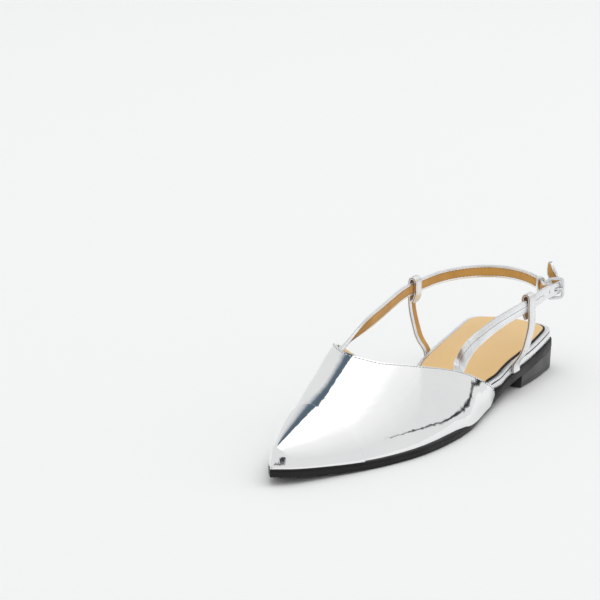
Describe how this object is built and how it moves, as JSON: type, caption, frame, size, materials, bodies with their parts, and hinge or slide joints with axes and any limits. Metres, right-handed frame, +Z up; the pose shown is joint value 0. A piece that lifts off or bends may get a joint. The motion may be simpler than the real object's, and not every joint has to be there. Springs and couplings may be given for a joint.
{
  "type": "sling back flat shoe",
  "caption": "Pointed sling back flat for the left foot: silver upper and toe cap, tan footbed, low black heel, and a buckled back strap held up by standing loops.",
  "frame": {"origin": "on the floor under the middle of the shoe's length and width", "axes": "+Z up, +Y from toe to heel, +X toward the outer side with the buckle"},
  "size_m": [0.0778, 0.265, 0.0644],
  "materials": {
    "sole_black": "matte black",
    "silver_leather": "mirror silver foil leather",
    "tan_leather": "smooth matte tan leather",
    "buckle_metal": "polished silver"
  },
  "bodies": {
    "root": {"outsole": "sole_black", "heel_block": "sole_black", "insole_board": "silver_leather", "vamp": "silver_leather", "toe_cap": "silver_leather", "strap_back": "silver_leather", "strap_lateral": "silver_leather", "tab_lateral": "silver_leather", "tab_medial": "silver_leather", "strap_keeper": "silver_leather", "footbed": "tan_leather", "buckle_frame": "buckle_metal", "buckle_prong": "buckle_metal"}
  },
  "joints": []
}
